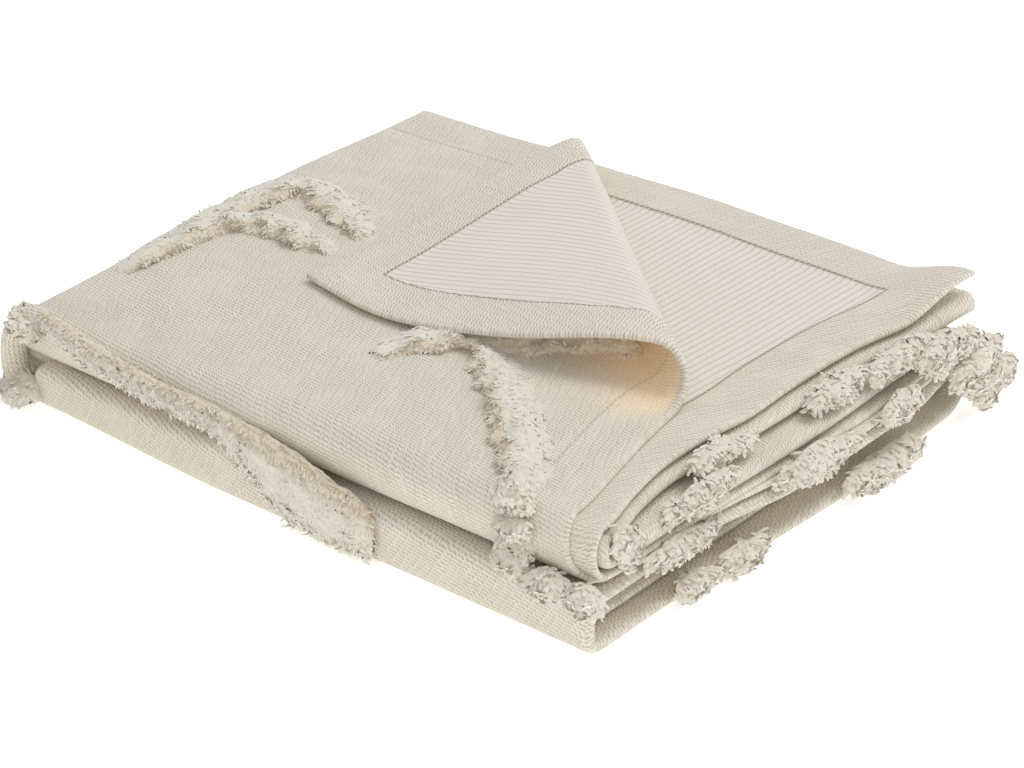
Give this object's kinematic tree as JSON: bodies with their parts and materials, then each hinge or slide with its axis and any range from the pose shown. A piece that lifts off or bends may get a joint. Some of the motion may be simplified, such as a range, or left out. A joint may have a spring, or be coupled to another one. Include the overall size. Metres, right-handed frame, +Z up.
{
  "type": "folded cotton blanket",
  "caption": "Folded cotton blanket with tufted pile ridges and hemmed edges, stacked flat with one corner turned back to show the ribbed reverse",
  "frame": {"origin": "middle of the underside of the folded stack, at the centre of its bounding box", "axes": "+X along the long side of the stack, with the hemmed ends at +X; +Y towards the back, where the hem corner curls up; +Z up"},
  "size_m": [0.4152, 0.3514, 0.0889],
  "materials": {
    "cotton_cloth": "undyed ecru cotton, matt, fine crepe ribs on the face and cream cut pile"
  },
  "bodies": {
    "root": {"blanket": "cotton_cloth"}
  },
  "joints": []
}
